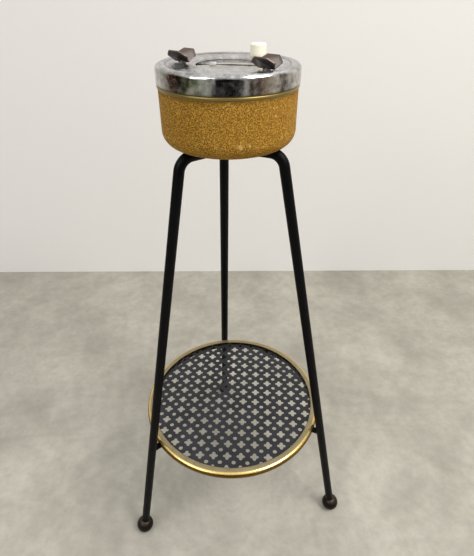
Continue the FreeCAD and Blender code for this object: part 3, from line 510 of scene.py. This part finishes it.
# %% [markdown]
# ### The perforated sheet
# One cell of the pattern is modelled: a square of sheet with a four-lobed hole in its middle and a
# quarter of a round hole at each corner. Each punched edge is rounded on top. A loop of points runs
# round each outline, and faces are laid between one loop and the next.
#
# Along a quarter turn the hole's outline is a lobe's round end and then a round inner corner. The
# cell's outline is a straight side and then the quarter hole.

# %%
SHEET_THICKNESS = 1.2 * MM
SHEET_RADIUS = 112.0 * MM
PITCH = 16.5 * MM
CROSS_REACH = 5.2 * MM
CROSS_ARM_WIDTH = 3.9 * MM
DOT_RADIUS = 2.55 * MM
PUNCH_ROUND = 0.35 * MM
SHEET_SHIFT = (-0.115, -0.322)    # a cross from the shelf's centre, in pitches
SHEET_TURN = -9.2                 # degrees about the stand's axis
LOBE_POINTS = 5
CORNER_POINTS = 4


def on_arc(centre, radius, degrees):
    angle = math.radians(degrees)
    return Vector((centre[0] + radius * math.cos(angle), centre[1] + radius * math.sin(angle)))


def eighth_of_hole(grow):
    """The four-lobed hole's outline from 0 to 45 degrees, grown outward."""
    half = CROSS_ARM_WIDTH / 2
    shoulder = CROSS_REACH - half
    lobe = [on_arc((shoulder, 0), half + grow, 90 * i / LOBE_POINTS) for i in range(LOBE_POINTS)]
    corner = [on_arc((shoulder, shoulder), shoulder - half - grow, 270 - 45 * i / CORNER_POINTS)
              for i in range(CORNER_POINTS + 1)]
    return lobe + corner


def eighth_of_cell(grow):
    """The cell's outline from 0 to 45 degrees, with the corner hole grown."""
    side = PITCH / 2
    start = side - DOT_RADIUS - grow
    edge = [Vector((side, start * i / LOBE_POINTS)) for i in range(LOBE_POINTS)]
    dot = [on_arc((side, side), DOT_RADIUS + grow, 270 - 45 * i / CORNER_POINTS)
           for i in range(CORNER_POINTS + 1)]
    return edge + dot


def all_round(eighth):
    """A whole outline from its first eighth: mirrored to a quarter, then turned three times."""
    mirrored = [Vector((p.y, p.x)) for p in reversed(eighth[1:-1])]
    quarter = eighth + mirrored
    return [Matrix.Rotation(math.radians(90 * turn), 2) @ p for turn in range(4) for p in quarter]


def is_on_corner_hole(index):
    """True for the faces of a cell's outline that lie along a corner hole."""
    eighth = LOBE_POINTS + CORNER_POINTS
    place = index % (2 * eighth)
    return LOBE_POINTS <= place < 2 * eighth - LOBE_POINTS


def fill_cell(work):
    steps = [(PUNCH_ROUND, 0.0), (PUNCH_ROUND * 0.3, -PUNCH_ROUND * 0.3), (0.0, -PUNCH_ROUND),
             (0.0, -SHEET_THICKNESS)]

    def loops(eighth):
        return [[work.verts.new((p.x, p.y, z)) for p in all_round(eighth(grow))] for grow, z in steps]

    hole = loops(eighth_of_hole)
    cell = loops(eighth_of_cell)
    count = len(hole[0])
    for i in range(count):
        j = (i + 1) % count
        work.faces.new((hole[0][i], cell[0][i], cell[0][j], hole[0][j]))
        work.faces.new((hole[3][j], cell[3][j], cell[3][i], hole[3][i]))
        for upper, lower in zip(hole, hole[1:]):
            work.faces.new((upper[i], upper[j], lower[j], lower[i]))
        if is_on_corner_hole(i):
            for upper, lower in zip(cell, cell[1:]):
                work.faces.new((upper[j], upper[i], lower[i], lower[j]))


# %% [markdown]
# Geometry Nodes repeats the cell. A grid of points is shifted, the points beyond the sheet are
# dropped and a cell is set on each of the rest. The cells are then joined, and whatever sticks out past
# the sheet's radius is drawn back to it, under the rim where it can't be seen.

# %%
def add_input(tree, name, kind, default=None):
    socket = tree.interface.new_socket(name, in_out="INPUT", socket_type=kind)
    if default is not None:
        socket.default_value = default


def vector_math(tree, operation, first, second=(0.0, 0.0, 0.0), scale=1.0):
    node = add(tree, "ShaderNodeVectorMath", {0: first, 1: second, 3: scale}, operation=operation)
    return node.outputs["Value"] if operation == "LENGTH" else node.outputs["Vector"]


def perforated_sheet_tree():
    tree = bpy.data.node_groups.new("perforated_sheet", "GeometryNodeTree")
    add_input(tree, "Cell", "NodeSocketObject")
    add_input(tree, "Pitch", "NodeSocketFloat", PITCH)
    add_input(tree, "Cells Across", "NodeSocketInt", 17)
    add_input(tree, "Radius", "NodeSocketFloat", SHEET_RADIUS)
    add_input(tree, "Shift", "NodeSocketVector", (0.0, 0.0, 0.0))
    add_input(tree, "Turn", "NodeSocketVector", (0.0, 0.0, 0.0))
    add_input(tree, "Material", "NodeSocketMaterial")
    tree.interface.new_socket("Geometry", in_out="OUTPUT", socket_type="NodeSocketGeometry")
    given = add(tree, "NodeGroupInput").outputs

    span = calc(tree, "MULTIPLY", given["Pitch"], calc(tree, "SUBTRACT", given["Cells Across"], 1.0))
    grid = add(tree, "GeometryNodeMeshGrid", {"Size X": span, "Size Y": span,
                                              "Vertices X": given["Cells Across"],
                                              "Vertices Y": given["Cells Across"]}).outputs["Mesh"]
    grid = add(tree, "GeometryNodeTransform", {"Geometry": grid, "Translation": given["Shift"]}).outputs[0]
    position = add(tree, "GeometryNodeInputPosition").outputs[0]
    reach = vector_math(tree, "LENGTH", position)
    limit = calc(tree, "ADD", given["Radius"], calc(tree, "MULTIPLY", given["Pitch"], 0.7))
    outside = calc(tree, "GREATER_THAN", reach, limit)
    grid = add(tree, "GeometryNodeDeleteGeometry", {"Geometry": grid, "Selection": outside}).outputs[0]

    cell = add(tree, "GeometryNodeObjectInfo", {"Object": given["Cell"]}).outputs["Geometry"]
    cells = add(tree, "GeometryNodeInstanceOnPoints", {"Points": grid, "Instance": cell}).outputs[0]
    sheet = add(tree, "GeometryNodeRealizeInstances", {"Geometry": cells}).outputs[0]
    sheet = add(tree, "GeometryNodeMergeByDistance", {"Geometry": sheet, "Distance": 0.01 * MM}).outputs[0]

    flat = vector_math(tree, "MULTIPLY", position, (1.0, 1.0, 0.0))
    flat_reach = vector_math(tree, "LENGTH", flat)
    beyond = calc(tree, "GREATER_THAN", flat_reach, given["Radius"])
    shrink = calc(tree, "DIVIDE", given["Radius"], flat_reach)
    drawn_in = vector_math(tree, "SCALE", flat, scale=shrink)
    level = vector_math(tree, "MULTIPLY", position, (0.0, 0.0, 1.0))
    edge_place = vector_math(tree, "ADD", drawn_in, level)
    sheet = add(tree, "GeometryNodeSetPosition", {"Geometry": sheet, "Selection": beyond,
                                                  "Position": edge_place}).outputs[0]
    sheet = add(tree, "GeometryNodeMergeByDistance", {"Geometry": sheet, "Distance": 0.01 * MM}).outputs[0]
    sheet = add(tree, "GeometryNodeTransform", {"Geometry": sheet, "Rotation": given["Turn"]}).outputs[0]
    painted = {"Geometry": sheet, "Material": given["Material"]}
    sheet = add(tree, "GeometryNodeSetMaterial", painted).outputs[0]
    add(tree, "NodeGroupOutput", {"Geometry": sheet})
    return tree


def run_nodes(name, tree, values):
    """Runs a node tree on nothing and keeps the result as a plain mesh at the origin."""
    carrier = new_object(name + "_carrier", bpy.data.meshes.new(name + "_start"))
    modifier = carrier.modifiers.new("nodes", "NODES")
    modifier.node_group = tree
    keys = {item.name: item.identifier for item in tree.interface.items_tree if item.in_out == "INPUT"}
    for label, value in values.items():
        modifier[keys[label]] = value
    bpy.context.view_layer.update()
    evaluated = carrier.evaluated_get(bpy.context.evaluated_depsgraph_get())
    result = bpy.data.meshes.new_from_object(evaluated)
    result.name = name
    bpy.data.objects.remove(carrier)
    return result


cell_object = new_object("sheet_cell", mesh_from("sheet_cell", fill_cell))
sheet_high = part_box("shelf_sheet")[1]
sheet_mesh = run_nodes("perforated_sheet", perforated_sheet_tree(), {
    "Cell": cell_object,
    "Shift": (SHEET_SHIFT[0] * PITCH, SHEET_SHIFT[1] * PITCH, 0.0),
    "Turn": (0.0, 0.0, math.radians(SHEET_TURN)),
    "Material": MATERIALS["shelf_black"],
})
sheet_mesh.transform(Matrix.Translation((0.0, 0.0, sheet_high.z)))
bpy.data.objects.remove(cell_object)
finish_piece(new_object("perforated_sheet", sheet_mesh), "shelf_sheet")


# %% [markdown]
# ### The lid
# The lid is turned from an outline of radius and height, with finer roundings than the CAD has. Its
# skirt is then dented: noise pushes the metal in and out by a quarter of a millimetre. That is enough
# to break up a mirror's reflections, and it stays clear of the bowl's neck inside.

# %%
LID_SEGMENTS = 288
LID_OUTLINE = [
    (60.3, -13.7), (60.3, -11.0), (60.3, -8.5), (60.3, -6.0), (60.3, -4.4), (60.3, -3.2), (60.15, -2.2),
    (59.7, -1.2), (58.9, -0.3), (57.8, 0.4), (56.3, 0.8), (54.8, 0.85), (53.5, 0.75), (52.4, 0.3),
    (51.6, 0.05), (50.5, 0.0), (42.0, 0.0), (34.0, 0.0), (30.6, 0.0), (29.8, -0.15), (28.5, -0.85),
    (27.8, -1.0), (26.9, -1.0), (26.7, -1.15),
]
DENT_DEPTH = 0.26 * MM
BUTTON_HOLE_RADIUS = 7.4 * MM


def turned_shell(name, outline, wall, segments):
    """A closed shell of revolution: the outline outside, and the same outline moved in by the wall."""
    outside = [Vector((r, z)) * MM for r, z in outline]
    inside = []
    for i, point in enumerate(outside):
        before, after = outside[max(i - 1, 0)], outside[min(i + 1, len(outside) - 1)]
        along = (after - before).normalized()
        inside.append(point + Vector((-along.y, along.x)) * wall)
    ring_points = outside + inside[::-1]

    def fill(work):
        rings = []
        for point in ring_points:
            rings.append([work.verts.new((point.x * math.cos(2 * math.pi * s / segments),
                                          point.x * math.sin(2 * math.pi * s / segments), point.y))
                          for s in range(segments)])
        for i in range(len(rings)):
            lower, upper = rings[i], rings[(i + 1) % len(rings)]
            for s in range(segments):
                t = (s + 1) % segments
                work.faces.new((lower[s], lower[t], upper[t], upper[s]))
        bmesh.ops.recalc_face_normals(work, faces=work.faces)
    return mesh_from(name, fill)


def dent(mesh):
    """Pushes a round shell in and out by noise, fading to nothing at the shoulder."""
    for vertex in mesh.vertices:
        x, y, z = vertex.co
        radius = math.hypot(x, y)
        share = min(max((radius - 0.050) / 0.008, 0.0), 1.0)
        around = Vector((x, y, 0.0)) / radius
        place = around * 0.06 + Vector((0.0, 0.0, z))
        broad = mathutils_noise.noise(place * 95.0)
        fine = mathutils_noise.noise(place * 240.0 + Vector((7.0, 3.0, 5.0)))
        push = (0.75 * broad + 0.35 * fine) * DENT_DEPTH * share
        vertex.co = vertex.co + around * min(push, DENT_DEPTH)


def cut_cylinder(obj, centre, radius):
    """Cuts an upright round hole and keeps the result as plain mesh data."""
    tool_mesh = mesh_from("cutter", lambda work: bmesh.ops.create_cone(
        work, cap_ends=True, segments=48, radius1=radius, radius2=radius, depth=20 * MM,
        matrix=Matrix.Translation(centre)))
    tool = new_object("cutter", tool_mesh)
    modifier = obj.modifiers.new("hole", "BOOLEAN")
    modifier.operation = "DIFFERENCE"
    modifier.object = tool
    bpy.context.view_layer.update()
    result = bpy.data.meshes.new_from_object(obj.evaluated_get(bpy.context.evaluated_depsgraph_get()))
    obj.modifiers.clear()
    obj.data = result
    bpy.data.objects.remove(tool)


lid_mesh = turned_shell("lid_dented", LID_OUTLINE, LID_WALL, LID_SEGMENTS)
dent(lid_mesh)
lid_mesh.transform(Matrix.Translation((0.0, 0.0, LID_FIELD)))
lid = new_object("lid_dented", lid_mesh)
button_low, button_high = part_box("button")
button_middle = (button_low + button_high) / 2
cut_cylinder(lid, Vector((button_middle.x, button_middle.y, LID_FIELD)), BUTTON_HOLE_RADIUS)
smooth_by_angle(lid.data, 40)
finish_piece(lid, "lid_shell")


# %% [markdown]
# ### The return spring
# The spring stands on its bridge and the button presses its upper end down, so it flattens toward the
# bridge by the button's travel. The record scales the CAD's spring in the same way.

spring = finish_piece(new_object("return_spring_coil", nodes["return_spring"].data.copy()), "return_spring")
smooth_by_angle(spring.data, 32)
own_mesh(spring)


# %% [markdown]
# ### Everything else
# The other CAD nodes already have their final shape, so they only get their finish.

# %%
for name, obj in nodes.items():
    if not obj.hide_render:
        paint(obj.data, SLOTS[name])
        smooth_by_angle(obj.data, 32)


# %% [markdown]
# ## The stage
# A pale concrete floor and a white wall, as in a small photo corner. They aren't part of the object.

# %%
def concrete():
    material, tree, shader, place = new_material("stage_concrete")
    broad = noise(tree, place, 7.0, 8.0, 0.68)
    fine = noise(tree, place, 60.0, 6.0, 0.7)
    colour = mix(tree, stretch(tree, broad, 0.35, 0.65), linear("#938f83"), linear("#b3afa2"))
    grit = calc(tree, "MULTIPLY", stretch(tree, fine, 0.4, 0.7), 0.35)
    colour = mix(tree, grit, colour, linear("#827f75"))
    set_inputs(tree, shader, Base_Color=colour, Roughness=0.62)
    bump(tree, shader, fine, 0.4 * MM)
    return material


def white_wall():
    material, tree, shader, _ = new_material("stage_wall")
    set_inputs(tree, shader, Base_Color=linear("#edeae6"), Roughness=0.85)
    return material


def panel(name, corners, material):
    """A flat four-cornered stage piece."""
    mesh = bpy.data.meshes.new(name)
    mesh.from_pydata([Vector(c) * MM for c in corners], [], [(0, 1, 2, 3)])
    mesh.materials.append(material)
    obj = new_object(name, mesh)
    return obj


HEADING = math.radians(83.6)
WALL_AWAY = 559.0


def stage_point(along, across, height):
    """A stage point: along the view's heading and across it, from the stand's axis."""
    x = along * math.cos(HEADING) + across * math.sin(HEADING)
    y = along * math.sin(HEADING) - across * math.cos(HEADING)
    return (x, y, height)


panel("stage_floor", [stage_point(-1500, -2500, 0), stage_point(-1500, 2500, 0),
                      stage_point(WALL_AWAY, 2500, 0), stage_point(WALL_AWAY, -2500, 0)], concrete())
panel("stage_wall", [stage_point(WALL_AWAY, -2500, 0), stage_point(WALL_AWAY, 2500, 0),
                     stage_point(WALL_AWAY, 2500, 2200), stage_point(WALL_AWAY, -2500, 2200)], white_wall())


# %% [markdown]
# ## The room in the mirror
# A chromed skirt shows nothing but the room. The world is that room: a colour for each bearing round
# the horizon, seen between the floor and the ceiling, and white above.

# %%
ROOM_BANDS = [
    (0.00, "#b9b8b6"), (0.08, "#8d8a88"), (0.20, "#6b3f33"), (0.27, "#2b211f"), (0.32, "#46512f"),
    (0.38, "#8d9a80"), (0.42, "#c9c8c4"), (0.46, "#2a2b30"), (0.50, "#0e0f13"), (0.55, "#1d2027"),
    (0.585, "#d9d5cf"), (0.61, "#54504e"), (0.66, "#a38d76"), (0.72, "#e4dcd0"), (0.76, "#77706a"),
    (0.84, "#c9c2ba"), (0.92, "#9a9896"),
]


ROOM_STRENGTH = 1.13


def build_room():
    world = bpy.data.worlds.new("room")
    bpy.context.scene.world = world
    world.use_nodes = True
    tree = world.node_tree
    tree.nodes.clear()
    place = add(tree, "ShaderNodeTexCoord").outputs["Generated"]
    turned_place = add(tree, "ShaderNodeVectorRotate", {"Vector": place, "Angle": math.pi / 2 - HEADING},
                       rotation_type="Z_AXIS").outputs[0]
    axes = add(tree, "ShaderNodeSeparateXYZ", {"Vector": turned_place}).outputs
    bearing = calc(tree, "ARCTAN2", axes["X"], calc(tree, "MULTIPLY", axes["Y"], -1.0))
    share = calc(tree, "ADD", calc(tree, "DIVIDE", bearing, 2 * math.pi), 0.5)
    wobble = calc(tree, "MULTIPLY", calc(tree, "SUBTRACT", noise(tree, place, 3.0, 4.0), 0.5), 0.06)
    ramp = add(tree, "ShaderNodeValToRGB", {"Fac": calc(tree, "ADD", share, wobble)})
    stops = ramp.color_ramp.elements
    while len(stops) < len(ROOM_BANDS):
        stops.new(1.0)
    for stop, (at, tone) in zip(stops, ROOM_BANDS):
        stop.position = at
        stop.color = linear(tone)
    up = stretch(tree, axes["Z"], 0.3, 0.75)
    bands = mix(tree, 0.15, ramp.outputs["Color"], linear("#000000"))
    colour = mix(tree, up, bands, linear("#f1f1f2"))
    background = add(tree, "ShaderNodeBackground", {"Color": colour, "Strength": ROOM_STRENGTH})
    add(tree, "ShaderNodeOutputWorld", {"Surface": background.outputs[0]})


build_room()


def lamp(name, place, target, size, watts, tone="#ffffff"):
    """A square soft light that faces a point."""
    light = bpy.data.lights.new(name, "AREA")
    light.shape = "SQUARE"
    light.size = size * MM
    light.energy = watts
    light.color = linear(tone)[:3]
    obj = new_object(name, light)
    obj.location = Vector(place) * MM
    obj.rotation_euler = (Vector(place) - Vector(target)).to_track_quat("Z", "Y").to_euler()
    return obj


lamp("stage_key", (1000, -800, 1900), (0, 0, 300), 900, 31.5, "#fffdfb")
lamp("stage_fill", (-1200, -900, 1500), (0, 0, 300), 1000, 10.8, "#f6f8ff")


# %% [markdown]
# ## The camera
# A phone held close and a little above the lid: a wide view that looks down by 35 degrees. The
# picture uses the plain sRGB response, so that a hex code looks like itself under white light.

# %%
CAMERA_PLACE = (-37.1, -390.4, 641.9)
CAMERA_RIGHT = Vector((0.9935, -0.1140, -0.0036)).normalized()
CAMERA_FORWARD = Vector((0.0914, 0.8146, -0.5728))
CAMERA_LENS = 27.92
CAMERA_SENSOR = 36.0


def build_camera():
    data = bpy.data.cameras.new("camera")
    data.sensor_width = CAMERA_SENSOR
    data.lens = CAMERA_LENS
    data.clip_start = 0.01
    camera = new_object("camera", data)
    back = -(CAMERA_FORWARD - CAMERA_RIGHT * CAMERA_FORWARD.dot(CAMERA_RIGHT)).normalized()
    up = back.cross(CAMERA_RIGHT)
    turn = Matrix((CAMERA_RIGHT, up, back)).transposed().to_4x4()
    camera.matrix_world = Matrix.Translation(Vector(CAMERA_PLACE) * MM) @ turn
    bpy.context.scene.camera = camera
    bpy.context.scene.view_settings.view_transform = "Standard"


build_camera()
